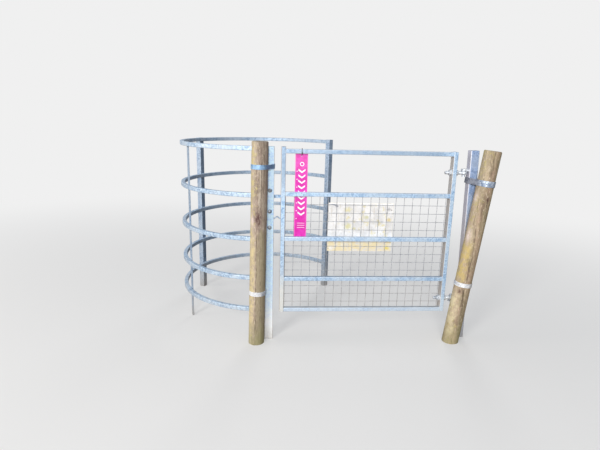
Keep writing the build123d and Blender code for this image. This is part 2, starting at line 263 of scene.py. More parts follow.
# A darker copy of the zinc for the hinge post: painted shade from the timber and strap. It is greyer and
# paler lower down, with a pale painted reflection on the sides that face left and a painted highlight on its
# corners
shaded_hinge_post_steel = galvanised("galvanised_hinge_post_shaded", colour(158, 182, 222), colour(114, 138, 178),
                              colour(176, 192, 216), soil=colour(200, 204, 208), soil_from=0.70,
                              soil_to=1.08, left_reflection=0.7, left_reflection_tone=colour(232, 228, 236), corners=0.65)
# Painted shade on the sides that face right and on the hoops' inner faces
ring_steel = galvanised("galvanised_ring", colour(196, 220, 242), colour(144, 170, 200),
                        colour(214, 226, 238), side_shade=0.4, ring=True, soil=colour(204, 208, 210),
                        soil_from=0.08, soil_to=0.40)
# Strong painted shade on the sides that face right
upright_steel = galvanised("galvanised_upright", colour(178, 200, 224), colour(132, 156, 186),
                           colour(194, 208, 222), side_shade=0.74, soil=colour(196, 200, 202), soil_from=0.08,
                           soil_to=0.40)
# On the right upper strap, painted shade where it lies over the hinge post beside the timber
band_steel = galvanised("band_zinc", colour(192, 206, 224), colour(114, 132, 158), colour(216, 222, 230),
                        0.6 * MM, shade_left_of=1.198)
# Darker blue-grey zinc for the left upper strap
dark_band_steel = galvanised("dark_band", colour(148, 188, 226), colour(102, 140, 180), colour(158, 194, 228),
                        0.6 * MM)
pale_steel = galvanised("pale_band", colour(244, 248, 252), colour(206, 210, 218), colour(248, 252, 255),
                        0.6 * MM)
zinc = galvanised("bolt_zinc", colour(222, 230, 240), colour(150, 158, 168), colour(236, 240, 244), 0.8 * MM)
bolt_grey = galvanised("bolt_grey", colour(160, 170, 182), colour(104, 112, 124), colour(170, 176, 182),
                       0.5 * MM)


def mesh_material():
    """Drawn wire: grey zinc with fine brown specks and some soil low down."""
    m = Material("mesh_wire_zinc", metallic=0.3)
    tone = m.noise(70.0, 4.0, 0.65)
    base = m.mix(m.band(tone, 0.35, 0.65), colour(146, 150, 158), colour(194, 198, 204))
    base = m.mix(m.band(m.noise(420.0, 2.0), 0.6, 0.75, 0.0, 0.5), base, colour(132, 126, 120))
    low = m.band(m.z, 0.45, 0.15, 0.0, 0.4)
    m.feed("Base Color", m.mix(low, base, colour(190, 180, 166)))
    m.feed("Normal", m.bump(m.noise(500.0, 2.0), 0.2 * MM, 0.5))
    return m.made


def board_material():
    """Faded sheet: grey-white with small yellow blotches, a yellower foot, creases and a pale rim."""
    low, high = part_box("notice_board")
    m = Material("faded_board", specular=0.35)
    across = m.node("MapRange", {"Value": m.x, "From Min": low.x, "From Max": high.x}).outputs["Result"]
    up = m.node("MapRange", {"Value": m.z, "From Min": low.z, "From Max": high.z}).outputs["Result"]
    base = m.mix(m.band(m.noise(20.0, 5.0, 0.65), 0.35, 0.65), colour(211, 212, 214), colour(234, 235, 237))
    fine = m.band(m.noise(120.0, 4.0, 0.7), 0.50, 0.68, 0.0, 0.4)
    base = m.mix(fine, base, colour(200, 198, 188))
    inside = m.times(m.band(across, 0.12, 0.24), m.band(across, 0.98, 0.86))
    blotch = m.band(m.noise(30.0, 3.0, 0.6, distortion=0.6), 0.56, 0.70, 0.0, 0.6)
    base = m.mix(m.times(blotch, inside), base, colour(214, 202, 138))
    foot = m.times(m.band(up, 0.32, 0.24), m.band(m.noise(40.0, 4.0), 0.36, 0.60, 0.25, 1.0))
    base = m.mix(foot, base, colour(226, 214, 178))
    lines = m.band(m.noise(90.0, 2.0, 0.5, m.stretched(1, 1, 0.12)), 0.60, 0.72, 0.0, 0.35)
    base = m.mix(lines, base, colour(186, 172, 148))

    # Single spots: share across, share up, size and tone
    spots = ((0.31, 0.52, 0.10, colour(206, 202, 140)), (0.30, 0.86, 0.08, colour(216, 208, 150)),
             (0.94, 0.66, 0.07, colour(214, 192, 116)), (0.59, 0.71, 0.06, colour(198, 198, 146)),
             (0.40, 0.47, 0.05, colour(200, 196, 138)), (0.93, 0.07, 0.07, colour(220, 204, 96)),
             (0.05, 0.06, 0.06, colour(240, 240, 240)), (0.135, 0.93, 0.035, colour(120, 128, 146)),
             (0.93, 0.88, 0.05, colour(138, 140, 148)), (0.90, 0.80, 0.03, colour(160, 160, 160)),
             (0.97, 0.86, 0.02, colour(110, 104, 96)), (0.02, 0.05, 0.015, colour(90, 80, 72)))
    for at_across, at_up, size, tone in spots:
        reach = m.math("SQRT", m.plus(m.math("POWER", m.minus(across, at_across), 2.0),
                                      m.math("POWER", m.minus(up, at_up), 2.0)))
        ragged = m.plus(reach, m.times(m.noise(75.0, 4.0, 0.7), size * 1.6))
        base = m.mix(m.band(ragged, size * 1.7, size * 0.9, 0.0, 0.75), base, tone)

    # Two creases from the top left corner, drawn as lines of painted shade: where each starts, its slope and
    # how far it goes
    for start, slope, end in ((0.995, -0.45, 0.15), (0.985, -0.10, 0.13)):
        line = m.minus(up, m.plus(m.times(across, slope), start))
        crease_shade = m.times(m.band(m.unsigned(line), 0.016, 0.004), m.band(across, end, end - 0.02))
        base = m.mix(m.times(crease_shade, 0.85), base, colour(112, 120, 138))
    base = m.mix(m.band(up, 0.972, 0.982), base, colour(250, 250, 250))
    for edge in (across, up):
        near = m.math("MINIMUM", edge, m.minus(1.0, edge))
        base = m.mix(m.band(near, 0.012, 0.004, 0.0, 0.6), base, colour(240, 236, 222))
    m.feed("Base Color", base)
    m.feed("Normal", m.bump(m.noise(26.0, 3.0), 0.5 * MM, 0.4, m.rounded(0.8 * MM)))
    return m.made


def tag_material():
    """Hot pink strip with a plain white pattern: a ring, a row of chevrons, bars, dots and a red end."""
    low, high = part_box("hanging_tag")
    half = (high.x - low.x) / 2
    length = high.z - low.z
    m = Material("pink_tag", roughness=0.34)
    across = m.minus(m.x, (low.x + high.x) / 2)
    down = m.minus(high.z, m.z)
    base = m.mix(m.band(m.noise(45.0, 3.0), 0.35, 0.65), colour(212, 28, 162), colour(222, 56, 184))
    paler_sides = m.band(m.unsigned(across), half - 7 * MM, half - 2 * MM, 0.0, 0.45)
    base = m.mix(paler_sides, base, colour(246, 140, 212))

    def between(value, start, end, soft=0.5 * MM):
        return m.times(m.band(value, start - soft, start + soft), m.band(value, end + soft, end - soft))

    # The pattern's middle is a little to the right of the strip's
    shift = m.minus(across, 3 * MM)
    middle = m.unsigned(shift)
    ring_drop = 58 * MM
    ring = m.math("SQRT", m.plus(m.math("POWER", shift, 2.0), m.math("POWER", m.minus(down, ring_drop), 2.0)))
    marks = [between(ring, 8 * MM, 12 * MM)]

    chevron_slope = 0.7
    chevron_start = 92 * MM
    chevron_pitch = 31 * MM
    bent = m.plus(down, m.times(middle, chevron_slope))
    phase = m.math("MODULO", m.minus(bent, chevron_start), chevron_pitch)
    row = m.times(between(down, 80 * MM, 361 * MM), between(middle, -1 * MM, 20 * MM))
    marks.append(m.times(row, between(phase, 7 * MM, 17 * MM)))

    bar_start = 396 * MM
    bar_pitch = 13 * MM
    bars = between(m.math("MODULO", m.minus(down, bar_start), bar_pitch), 4 * MM, 8 * MM)
    bars = m.times(bars, between(down, bar_start, 435 * MM))
    marks.append(m.times(m.times(bars, between(middle, -1 * MM, 22 * MM)), 0.55))

    dot_start = 40 * MM
    dot_pitch = 46 * MM
    dots = between(m.math("MODULO", m.minus(down, dot_start), dot_pitch), 10 * MM, 15 * MM)
    dots = m.times(dots, between(across, -27 * MM, -22 * MM))
    marks.append(m.times(dots, between(down, 60 * MM, 380 * MM)))

    for mark in marks:
        base = m.mix(mark, base, colour(250, 246, 250))
    base = m.mix(m.band(down, length - 9 * MM, length - 4 * MM), base, colour(240, 36, 84))
    m.feed("Base Color", base)
    m.feed("Normal", m.bump(m.noise(18.0, 2.0, place=m.stretched(1.5, 1, 0.6)), 1.2 * MM, 0.35))
    return m.made


def timber_material(name, pale, dark, broad_tone, shade, lichen, lichen_side, lichen_share, patches):
    """Weathered round softwood: grain along the post, checks, lichen on one side and end rings.

    patches are (tone, lowest, highest) for stretches of another tone on the side towards the left.
    """
    m = Material(name, roughness=0.85, specular=0.25)
    crack, knot, side, worn, split, end = (m.node("Attribute", attribute_name=kind).outputs["Fac"]
                                           for kind in ("crack", "knot", "side", "worn", "split", "end"))
    fibre = m.noise(70.0, 6.0, 0.65, m.stretched(1, 1, 0.06), 0.3)
    broad = m.noise(16.0, 5.0, 0.65, m.stretched(1, 1, 0.22))
    base = m.mix(m.band(fibre, 0.36, 0.66), dark, pale)
    base = m.mix(m.band(broad, 0.40, 0.62, 0.0, 0.75), base, broad_tone)
    clouds = m.noise(60.0, 5.0, 0.7, m.stretched(1, 1, 0.5))
    base = m.mix(m.band(clouds, 0.50, 0.66, 0.0, 0.5), base, shade)
    streak = m.noise(110.0, 3.0, 0.6, m.stretched(1, 1, 0.05))
    base = m.mix(m.band(streak, 0.56, 0.70, 0.0, 0.65), base, colour(98, 82, 72))
    fleck = m.noise(130.0, 5.0, 0.75, m.stretched(1, 1, 0.3))
    base = m.mix(m.band(fleck, 0.53, 0.64, 0.0, 0.5), base, colour(108, 94, 84))
    base = m.mix(m.band(fleck, 0.46, 0.36, 0.0, 0.55), base, colour(226, 212, 190))

    # Painted shade on the right side and painted light on the left side
    base = m.mix(m.band(side, 0.60, 0.10, 0.0, 0.42), base, shade)
    base = m.mix(m.band(side, 0.60, 0.95, 0.0, 0.35), base, colour(210, 196, 170))
    base = m.mix(m.times(split, m.band(fibre, 0.3, 0.6, 0.2, 0.6)), base, colour(150, 142, 110))
    growth = m.plus(m.noise(40.0, 6.0, 0.75), m.times(side, lichen_side))
    growth = m.plus(growth, m.times(m.noise(6.0, 2.0), 0.25))
    base = m.mix(m.band(growth, lichen_share, lichen_share + 0.16, 0.0, 0.8), base, lichen)
    for tone, lowest, highest in patches:
        stretch = m.times(m.band(m.z, lowest, lowest + 0.05), m.band(m.z, highest, highest - 0.08))
        stretch = m.times(stretch, m.band(m.noise(22.0, 5.0, 0.7), 0.36, 0.60))
        base = m.mix(m.times(stretch, m.band(side, 0.55, 0.85, 0.0, 0.85)), base, tone)
    green = m.band(m.plus(m.z, m.times(m.noise(20.0, 4.0), 0.2)), 0.30, 0.08, 0.0, 0.5)
    base = m.mix(green, base, colour(146, 146, 100))
    bare = m.times(worn, m.band(m.noise(70.0, 3.0), 0.3, 0.6, 0.4, 0.9))
    base = m.mix(bare, base, colour(230, 214, 208))
    base = m.mix(m.times(knot, m.band(fleck, 0.36, 0.60, 0.55, 1.0)), base, colour(84, 58, 58))
    base = m.mix(crack, base, colour(66, 54, 46))

    # Sawn top with its rings
    rings = m.math("SINE", m.plus(m.times(end, 2100.0), m.times(m.noise(30.0), 9.0)))
    cut = m.mix(m.band(rings, -0.6, 0.8), colour(118, 104, 92), colour(172, 156, 136))
    cut = m.mix(m.band(m.noise(60.0, 4.0, 0.7), 0.45, 0.65, 0.0, 0.6), cut, colour(146, 138, 118))
    m.feed("Base Color", m.mix(m.band(end, 0.0005, 0.0012), base, cut))
    height = m.plus(m.times(fibre, 0.7), m.times(m.noise(300.0, 3.0), 0.3))
    m.feed("Normal", m.bump(height, 1.6 * MM, 0.6))
    return m.made


def nylon_material():
    m = Material("black_nylon", roughness=0.4)
    m.feed("Base Color", m.mix(m.noise(200.0), colour(16, 16, 18), colour(34, 34, 36)))
    m.feed("Normal", m.bump(m.noise(600.0), 0.2 * MM, 0.4))
    return m.made


def weld_material():
    m = Material("weld_bead", metallic=0.35)
    tone = m.noise(160.0, 4.0)
    m.feed("Base Color", m.mix(m.band(tone, 0.35, 0.65), colour(150, 166, 182), colour(212, 222, 232)))
    m.feed("Normal", m.bump(m.noise(700.0, 3.0), 0.4 * MM, 0.6))
    return m.made


mesh_zinc = mesh_material()
weld = weld_material()
nylon = nylon_material()


def dress(name, material):
    node = nodes[name]
    for place in node.material_slots:
        place.material = material
    if not node.material_slots:
        node.data.materials.append(material)


dress("closing_post", lit_post_steel)
dress("hinge_post", shaded_hinge_post_steel)
dress("closing_stile", stile_steel)
for name in ("hinge_stile", "stop_bar", "bent_stop"):
    dress(name, leaf_steel)
for name in ("rear_post", "back_upright", "side_upright"):
    dress(name, upright_steel)
for number in range(1, 6):
    dress(f"hoop_{number}", ring_steel)
    dress(f"rail_{number}", leaf_steel)
dress("left_upper_strap", dark_band_steel)
dress("left_lower_strap", pale_steel)
dress("right_upper_strap", band_steel)
dress("right_lower_strap", pale_steel)
dress("upper_hook", zinc)
dress("lower_hook", zinc)
dress("notice_board", board_material())
dress("tag_tie", nylon)


def turns(count):
    """The angles of that many equal steps round a circle."""
    return [2 * math.pi * j / count for j in range(count)]


class Build:
    """Points and faces gathered for one piece."""

    def __init__(self):
        self.points = []
        self.faces = []

    def grid(self, rings, closed_along=False):
        """Joins rings of equally many points. Each ring closes on itself."""
        start = len(self.points)
        count = len(rings[0])
        for ring in rings:
            self.points.extend(tuple(p) for p in ring)
        steps = len(rings) if closed_along else len(rings) - 1
        for i in range(steps):
            a = start + i * count
            b = start + (i + 1) % len(rings) * count
            for j in range(count):
                k = (j + 1) % count
                self.faces.append((a + j, a + k, b + k, b + j))
        if not closed_along:
            self.faces.append(tuple(start + j for j in reversed(range(count))))
            last = start + (len(rings) - 1) * count
            self.faces.append(tuple(last + j for j in range(count)))

    def turned(self, place, axis, profile, count, closed=False):
        """A turned form. profile gives (distance along the axis, radius or radius(angle))."""
        axis = Vector(axis).normalized()
        side = axis.orthogonal().normalized()
        other = axis.cross(side)
        place = Vector(place)
        rings = []
        for along, radius in profile:
            ring = []
            for angle in turns(count):
                reach = radius(angle) if callable(radius) else radius
                ring.append(place + axis * along + (side * math.cos(angle) + other * math.sin(angle)) * reach)
            rings.append(ring)
        self.grid(rings, closed)

    def bead(self, line, normal, radius, closed=False):
        """A weld bead along a line, its ripples close together."""
        step = 1.6 * MM
        sides = 8
        line = [Vector(p) for p in line]
        if closed:
            line.append(line[0])
        places = []
        for a, b in zip(line, line[1:]):
            steps = max(2, round((b - a).length / step))
            places.extend(a.lerp(b, i / steps) for i in range(steps))
        if not closed:
            places.append(line[-1])
        rings = []
        normal = Vector(normal).normalized()
        for i, place in enumerate(places):
            before = places[i - 1] if i or closed else place
            after = places[(i + 1) % len(places)] if closed or i + 1 < len(places) else place
            along = (after - before).normalized()
            side = along.cross(normal).normalized()
            ripple = radius * (0.86 + 0.16 * math.sin(i * 1.9) + 0.12 * rng.standard_normal() * 0.6)
            rings.append([place + (side * math.cos(t) + normal * math.sin(t)) * ripple for t in turns(sides)])
        self.grid(rings, closed)

    def piece(self, name, material, body, slot, replaces=()):
        data = bpy.data.meshes.new(name)
        data.from_pydata(self.points, [], self.faces)
        data.validate()
        data.materials.append(material)
        made = bpy.data.objects.new(name, data)
        bpy.context.scene.collection.objects.link(made)
        data.shade_smooth()
        data.set_sharp_from_angle(angle=math.radians(42))
        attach(made, body)
        if replaces:
            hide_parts(*replaces)
        return made


# Weld mesh of round wires
def mesh_wires():
    low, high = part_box("mesh_panel")
    pitch = 50 * MM
    wire = 1.5 * MM
    first_column = low.x + 3 * MM
    columns = 20
    nut_room = 17 * MM
    sides = 10
    bend_step = 25 * MM
    most_bow = 0.5
    made = Build()

    def wire_along(start, end, axis):
        """A wire that bows a little within the mesh's plane. It takes two draws and uses the first."""
        length = (end - start).length
        steps = max(2, int(length / bend_step))
        bow = rng.uniform(-most_bow, most_bow, 2)[0] * MM
        turn = Vector(axis).orthogonal().normalized()
        other = Vector(axis).cross(turn)
        sideways = Vector((bow * axis[2], 0, bow * axis[0]))
        rings = []
        for i in range(steps + 1):
            share = i / steps
            place = start.lerp(end, share) + sideways * math.sin(math.pi * share)
            rings.append([place + (turn * math.cos(t) + other * math.sin(t)) * wire for t in turns(sides)])
        made.grid(rings)

    for i in range(columns):
        x = first_column + i * pitch
        ends = [low.z, high.z]
        if i == columns - 1:
            ends[1:1] = [LOWER_HINGE - nut_room, LOWER_HINGE + nut_room]
        for start, end in zip(ends[::2], ends[1::2]):
            wire_along(Vector((x, low.y + wire, start)), Vector((x, low.y + wire, end)), (0, 0, 1))
    row = high.z - wire
    while row > low.z:
        wire_along(Vector((low.x, high.y - wire, row)), Vector((high.x, high.y - wire, row)), (1, 0, 0))
        row -= pitch
    made.piece("mesh_wires", mesh_zinc, "leaf", "mesh_wire", replaces=["mesh_panel"])


mesh_wires()


# Plastic tag, bowed a little between the rails
def tag_sheet(material):
    low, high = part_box("hanging_tag")
    hole_x = (low.x + high.x) / 2
    hole_z = high.z - 13 * MM
    hole_radius = 3.6 * MM
    reach = 8 * MM

    # Rows and columns are 4 mm apart near the hole, so that they meet the corners of the square round it
    columns = np.linspace(low.x, high.x, 19)
    drops = [0, 2.5, *range(5, 22, 4), *np.linspace(25, (high.z - low.z) / MM, 117)]
    rows = [high.z - drop * MM for drop in drops]
    bows = [(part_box("rail_2")[1].z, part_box("rail_1")[0].z, 3 * MM),
            (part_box("rail_3")[1].z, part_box("rail_2")[0].z, 2 * MM)]
    plan = []
    place_of = {}

    def point(x, z):
        key = (round(x, 6), round(z, 6))
        if key not in place_of:
            place_of[key] = len(plan)
            plan.append((x, z))
        return place_of[key]

    flat = []
    for left, right in zip(columns, columns[1:]):
        for top, foot in zip(rows, rows[1:]):
            if max(abs((left + right) / 2 - hole_x), abs((top + foot) / 2 - hole_z)) > reach:
                flat.append((point(left, foot), point(right, foot), point(right, top), point(left, top)))
    side = range(-2, 2)
    square = [(i, -2) for i in side] + [(2, i) for i in side]
    square += [(-x, -z) for x, z in square]
    rim = []
    for x, z in square:
        out = Vector((x, z)).normalized() * hole_radius
        corner = point(hole_x + x * reach / 2, hole_z + z * reach / 2)
        rim.append((corner, point(hole_x + out.x, hole_z + out.y)))
    for (outer, inner), (next_outer, next_inner) in zip(rim, rim[1:] + rim[:1]):
        flat.append((outer, next_outer, next_inner, inner))

    def bow(z):
        for foot, top, depth in bows:
            if foot < z < top:
                return depth * math.sin(math.pi * (z - foot) / (top - foot)) ** 2
        return 0.0

    made = Build()
    for y in (low.y, high.y):
        made.points.extend((x, y - bow(z), z) for x, z in plan)
    count = len(plan)
    made.faces.extend(flat)
    made.faces.extend(tuple(i + count for i in reversed(face)) for face in flat)
    edges = {(a, b) for face in flat for a, b in zip(face, face[1:] + face[:1])}
    made.faces.extend((b, a, a + count, b + count) for a, b in sorted(edges) if (b, a) not in edges)
    made.piece("tag_sheet", material, "leaf", "tag_plastic", replaces=["hanging_tag"])


tag_sheet(tag_material())


# Timber posts with grain, checks and knots
def arc(turn, radius):
    """How far round the post a turn in radians comes to, by the shorter way."""
    return ((turn + np.pi) % (2 * np.pi) - np.pi) * radius


def rough_round(a, z, level, radius, draw):
    """The wall's reach: not quite round, with fine grain along the post."""
    grain_depth = 0.22 * MM
    r = np.full_like(a, radius)
    for harmonic in range(2, 6):
        swing = draw.uniform(0, 2 * np.pi)
        r += radius * 0.007 / harmonic * np.cos(harmonic * a + swing + draw.uniform(-1.2, 1.2) * z)
    for count in (23, 37, 61):
        swing = draw.uniform(0, 2 * np.pi)
        drift = np.cumsum(draw.normal(0, 0.05, len(level)))[:, None]
        r += grain_depth * np.cos(count * a + swing + drift)
    return r


def cut_checks(r, a, z, radius, checks, draw):
    """Cuts the checks into the reach r. Gives how far each point is in one."""
    crack = np.zeros_like(a)
    for centre, start, end, width, depth in checks:
        wander = np.interp(z, np.linspace(start, end, 9), draw.uniform(-0.06, 0.06, 9))
        apart = np.abs(arc(a - math.radians(centre) - wander, radius))
        ends = np.clip((z - start) / 0.05, 0, 1) * np.clip((end - z) / 0.05, 0, 1)
        share = np.clip(1 - apart / (width * (0.35 + 0.65 * ends)), 0, 1) * (ends > 0)
        r -= depth * share ** 0.8 * ends
        crack = np.maximum(crack, np.clip(share * 1.4, 0, 1) * ends)
    return crack


def raise_knots(r, a, z, radius, knots):
    """Raises the knots on the reach r, each in a groove. Gives how far each point is in one."""
    groove = 1.6 * MM
    knot = np.zeros_like(a)
    for centre, at, size, swell in knots:
        apart = np.hypot(arc(a - math.radians(centre), radius), (z - at) * 0.62) / size
        r += swell * np.exp(-apart ** 2 * 1.6)
        knot = np.maximum(knot, np.exp(-apart ** 2 * 1.5))
        r -= groove * np.exp(-((apart - 0.55) / 0.16) ** 2)
    return knot


def split_strip(r, a, z, strip):
    """Takes the split-off strip from the reach r. Gives how far each point is in it."""
    first, last, split_top, depth = strip
    split = np.clip((a - math.radians(first)) / 0.05, 0, 1) * np.clip((math.radians(last) - a) / 0.3, 0, 1)
    split *= np.clip((split_top + 0.012 * np.sin(9 * a) - z) / 0.02, 0, 1)
    r -= depth * split
    return split


def timber_piece(node, foot, lean, radius, height, checks, knots, worn_places, strip, material, seed):
    """checks are (angle, lowest, highest, half width, depth), knots (angle, level, radius, swell).

    worn_places are (angle, level, radius), and strip (first angle, last angle, top, depth) is where wood
    split away.
    """
    chamfer_height = 5 * MM
    chamfer_depth = 4.5 * MM
    dip_depth = 0.25 * MM
    draw = np.random.default_rng(seed)
    around, rows = 180, 330
    angle = np.linspace(0, 2 * np.pi, around, endpoint=False)
    level = np.concatenate([np.linspace(0, height - 6 * MM, rows),
                            np.linspace(height - chamfer_height, height, 6)])
    a, z = np.meshgrid(angle, level)
    r = rough_round(a, z, level, radius, draw)
    crack = cut_checks(r, a, z, radius, checks, draw)
    knot = raise_knots(r, a, z, radius, knots)
    split = split_strip(r, a, z, strip) if strip else np.zeros_like(a)
    worn = np.zeros_like(a)
    for centre, at, size in worn_places:
        apart = np.hypot(arc(a - math.radians(centre), radius), (z - at) * 0.45) / size
        worn = np.maximum(worn, np.exp(-apart ** 2))

    # The wall keeps close to a plain round post, and closest near the top, to stay inside the post's box
    r = np.minimum(r, radius * (1.012 - 0.009 * np.clip((z / height - 0.9) / 0.08, 0, 1)))
    chamfer = np.clip((z - (height - chamfer_height)) / chamfer_height, 0, 1)
    r -= chamfer ** 1.6 * chamfer_depth

    tilt = math.radians(lean)
    along = np.array([math.sin(tilt), 0, math.cos(tilt)])
    right = np.array([math.cos(tilt), 0, -math.sin(tilt)])
    forward = np.array([0, 1, 0])
    base = np.array([foot[0], foot[1], 0])

    def place(reach, turn, up):
        return (base + up[..., None] * along + (reach * np.cos(turn))[..., None] * right
                + (reach * np.sin(turn))[..., None] * forward)

    # The foot is cut level with the ground, and the top square with a slight dip
    wall = place(r, a, z + r * np.cos(a) * math.tan(tilt) * (1 - z / height))
    inner = np.linspace(0.94, 0.0, 9)
    top = [place(r[-1] * share, angle, np.full(around, height) - dip_depth * abs(math.sin(12 * share)))
           for share in inner[:-1]]
    made = Build()
    made.grid([list(map(tuple, ring)) for ring in list(wall) + top])
    piece = made.piece(f"{node}_wood", material, "frame", "timber", replaces=[node])

    # What the wood's material reads: a value on the wall, and one for the whole top
    layers = {"crack": (crack, 0), "knot": (knot, 0), "side": ((1 - np.cos(a)) / 2, 0.4), "worn": (worn, 0),
              "split": (split, 0)}
    values = {name: np.vstack([wall_value, np.full((len(top), around), top_value)])
              for name, (wall_value, top_value) in layers.items()}
    cap_reach = np.repeat(radius * (1.02 - inner[:-1])[:, None], around, axis=1)
    values["end"] = np.vstack([np.zeros_like(a), cap_reach])
    for name, value in values.items():
        layer = piece.data.attributes.new(name, "FLOAT", "POINT")
        layer.data.foreach_set("value", value.astype(np.float32).ravel())


left_wood = timber_material("left_timber", colour(196, 184, 168), colour(124, 110, 98), colour(166, 148, 138),
                            colour(124, 114, 100), colour(196, 184, 128), 0.34, 0.90,
                            [(colour(208, 193, 150), 0.06, 0.70)])
right_wood = timber_material("right_timber", colour(180, 164, 138), colour(118, 104, 86),
                             colour(182, 154, 136), colour(134, 128, 96), colour(182, 170, 112), 0.20, 0.80,
                             [(colour(204, 182, 114), 0.38, 0.66), (colour(216, 204, 170), 0.04, 0.36)])
timber_piece("left_timber_post", foot=(-72 * MM, -64 * MM), lean=0.85, radius=46 * MM, height=1190 * MM,
             checks=[(258, 0.06, 0.69, 0.8 * MM, 2 * MM), (296, 0.10, 0.50, 0.8 * MM, 2 * MM),
                     (286, 0.84, 1.10, 0.9 * MM, 2 * MM), (236, 0.86, 1.12, 0.8 * MM, 2 * MM),
                     (40, 0.20, 1.10, 2.2 * MM, 8 * MM), (150, 0.50, 1.15, 1.6 * MM, 5 * MM)],
             knots=[(266, 0.768, 30 * MM, 1.5 * MM), (274, 0.742, 12 * MM, 1 * MM),
                    (120, 0.66, 14 * MM, 1.5 * MM)],
             worn_places=[(222, 0.752, 13 * MM)], strip=(257, 352, 0.706, 2.0 * MM),
             material=left_wood, seed=5)
timber_piece("right_timber_post", foot=(1121 * MM, -68.8 * MM), lean=6.6, radius=48.5 * MM, height=1172 * MM,
             checks=[(262, 0.20, 0.60, 0.9 * MM, 2.5 * MM), (222, 0.70, 1.05, 0.8 * MM, 2 * MM),
                     (60, 0.10, 0.90, 2.2 * MM, 8 * MM), (160, 0.40, 1.00, 1.6 * MM, 5 * MM)],
             knots=[(282, 0.90, 11 * MM, 1.2 * MM), (232, 0.34, 12 * MM, 1.2 * MM),
                    (110, 0.7, 14 * MM, 1.4 * MM)],
             worn_places=[(205, 0.68, 16 * MM), (196, 0.90, 12 * MM)], strip=None,
             material=right_wood, seed=9)


# Bolts, nuts and eyes
def hexagon(size, limit):
    """The reach of a hexagon of that half width across flats, cut back to a limit by its chamfer."""
    def reach(angle):
        turn = (angle + math.pi / 6) % (math.pi / 3) - math.pi / 6
        return min(size / math.cos(turn), limit)
    return reach


def add_nut(made, place, axis, flats, thickness, bore):
    """A hexagon nut that far across its flats, chamfered at both faces and in its bore."""
    half = flats / 2
    corner = half / math.cos(math.pi / 6)
    chamfer = corner - half
    face = half * 0.97
    mouth = bore + 0.6 * MM
    mouth_depth = 0.8 * MM
    profile = [(0, mouth), (0, face)]

    # The chamfer's curve: how far along it, and how far out towards the corner
    for along, cut in ((0.05, 0.0), (0.35, 0.55), (0.7, 0.85)):
        profile.append((along * chamfer, hexagon(half, half + cut * chamfer)))
    profile.append((chamfer, hexagon(half, corner)))
    profile += [(thickness - along, radius) for along, radius in reversed(profile[2:])]
    profile += [(thickness, face), (thickness, mouth), (thickness - mouth_depth, bore), (mouth_depth, bore)]
    made.turned(place, axis, profile, 72, closed=True)


def add_thread(made, place, axis, radius, length):
    """A threaded length with a chamfered end at its far side."""
    pitch = 2.5 * MM
    depth = 1.3 * MM
    row_step = 0.42 * MM
    end_chamfer = 2.2 * MM
    steps = int(length / row_step)
    profile = [(0.0, radius * 0.6)]
    for i in range(steps + 1):
        along = length * i / steps

        def reach(angle, along=along):
            share = (along / pitch - angle / (2 * math.pi)) % 1
            cut = depth * (1 - abs(2 * share - 1))
            return min(radius - cut, radius - end_chamfer + (length - along))
        profile.append((along, reach))
    made.turned(place, axis, profile, 24)


def hinge_fittings(name, level):
    """An eye bolt through the hinge stile at that level, with a nut and washer on either side of it."""
    low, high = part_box("hinge_stile")
    bolt_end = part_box(f"{name}_eye_bolt")[0].x
    radius = 10 * MM
    tip = 0.5 * MM
    inward = (-1, 0, 0)
    outward = (1, 0, 0)
    made = Build()

    # The shank, from its collar at the eye to the stile's inner face
    collar_x = HINGE_X - 17 * MM
    shank = collar_x - low.x
    profile = [(0, tip), (0, radius * 1.12), (2.5 * MM, radius), (shank, radius), (shank, tip)]
    made.turned((collar_x, HINGE_Y, level), inward, profile, 36)

    # The eye, rounded outside and chamfered inside: (height, reach) in millimetres
    upper_half = [(9.95, 11.2), (9.95, 15.2), (8.9, 17.2), (6.6, 18.5), (3.4, 18.95)]
    eye = [(-up, out) for up, out in upper_half] + upper_half[::-1] + [(8.9, 10.0), (-8.9, 10.0)]
    eye = [(up * MM, out * MM) for up, out in eye]
    made.turned((HINGE_X, HINGE_Y, level), (0, 0, 1), eye, 48, closed=True)
    add_thread(made, (low.x, HINGE_Y, level), inward, radius, low.x - bolt_end)
    add_thread(made, (high.x, HINGE_Y, level), outward, radius * 1.01, 21 * MM)
    made.piece(f"{name}_eye_bolt_forging", zinc, "leaf", "hinge_zinc", replaces=[f"{name}_eye_bolt"])

    thickness = 14 * MM
    washer = 2.2 * MM
    hole = radius + 0.5 * MM
    washer_profile = [(0, hole), (0, 17.6 * MM), (0.5 * MM, 18 * MM), (washer - 0.5 * MM, 18 * MM),
                      (washer, 17.6 * MM), (washer, hole)]
    for part, x, way in (("inner", low.x, inward), ("outer", high.x, outward)):
        place = (x, HINGE_Y, level)
        nut = Build()
        nut.turned(place, way, washer_profile, 40, closed=True)
        add_nut(nut, Vector(place) + Vector(way) * washer, way, 30 * MM, thickness - washer, radius)
        nut.piece(f"{name}_{part}_nut_and_washer", zinc, "leaf", "hinge_zinc",
                  replaces=[f"{name}_{part}_nut"])


hinge_fittings("upper", UPPER_HINGE)
hinge_fittings("lower", LOWER_HINGE)


def post_bolts():
    """Three round-headed bolts through the closing post's front, each on a thin washer."""
    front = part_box("closing_post")[0].y
    washer = 1.9 * MM
    washer_radius = 12.2 * MM
    head_radius = 10 * MM
    head_height = 4.6 * MM
    profile = [(0, washer_radius), (1.4 * MM, washer_radius), (washer, 11.6 * MM), (washer, head_radius)]
    for step in range(1, 8):
        turn = step / 8 * math.pi / 2
        profile.append((washer + head_height * math.sin(turn), head_radius * math.cos(turn)))
    made = Build()
    for level in (0.914, 0.793, 0.699):
        made.turned((1 * MM, front, level), (0, -1, 0), profile, 36)
    made.piece("closing_post_bolts", bolt_grey, "frame", "hinge_zinc")


post_bolts()


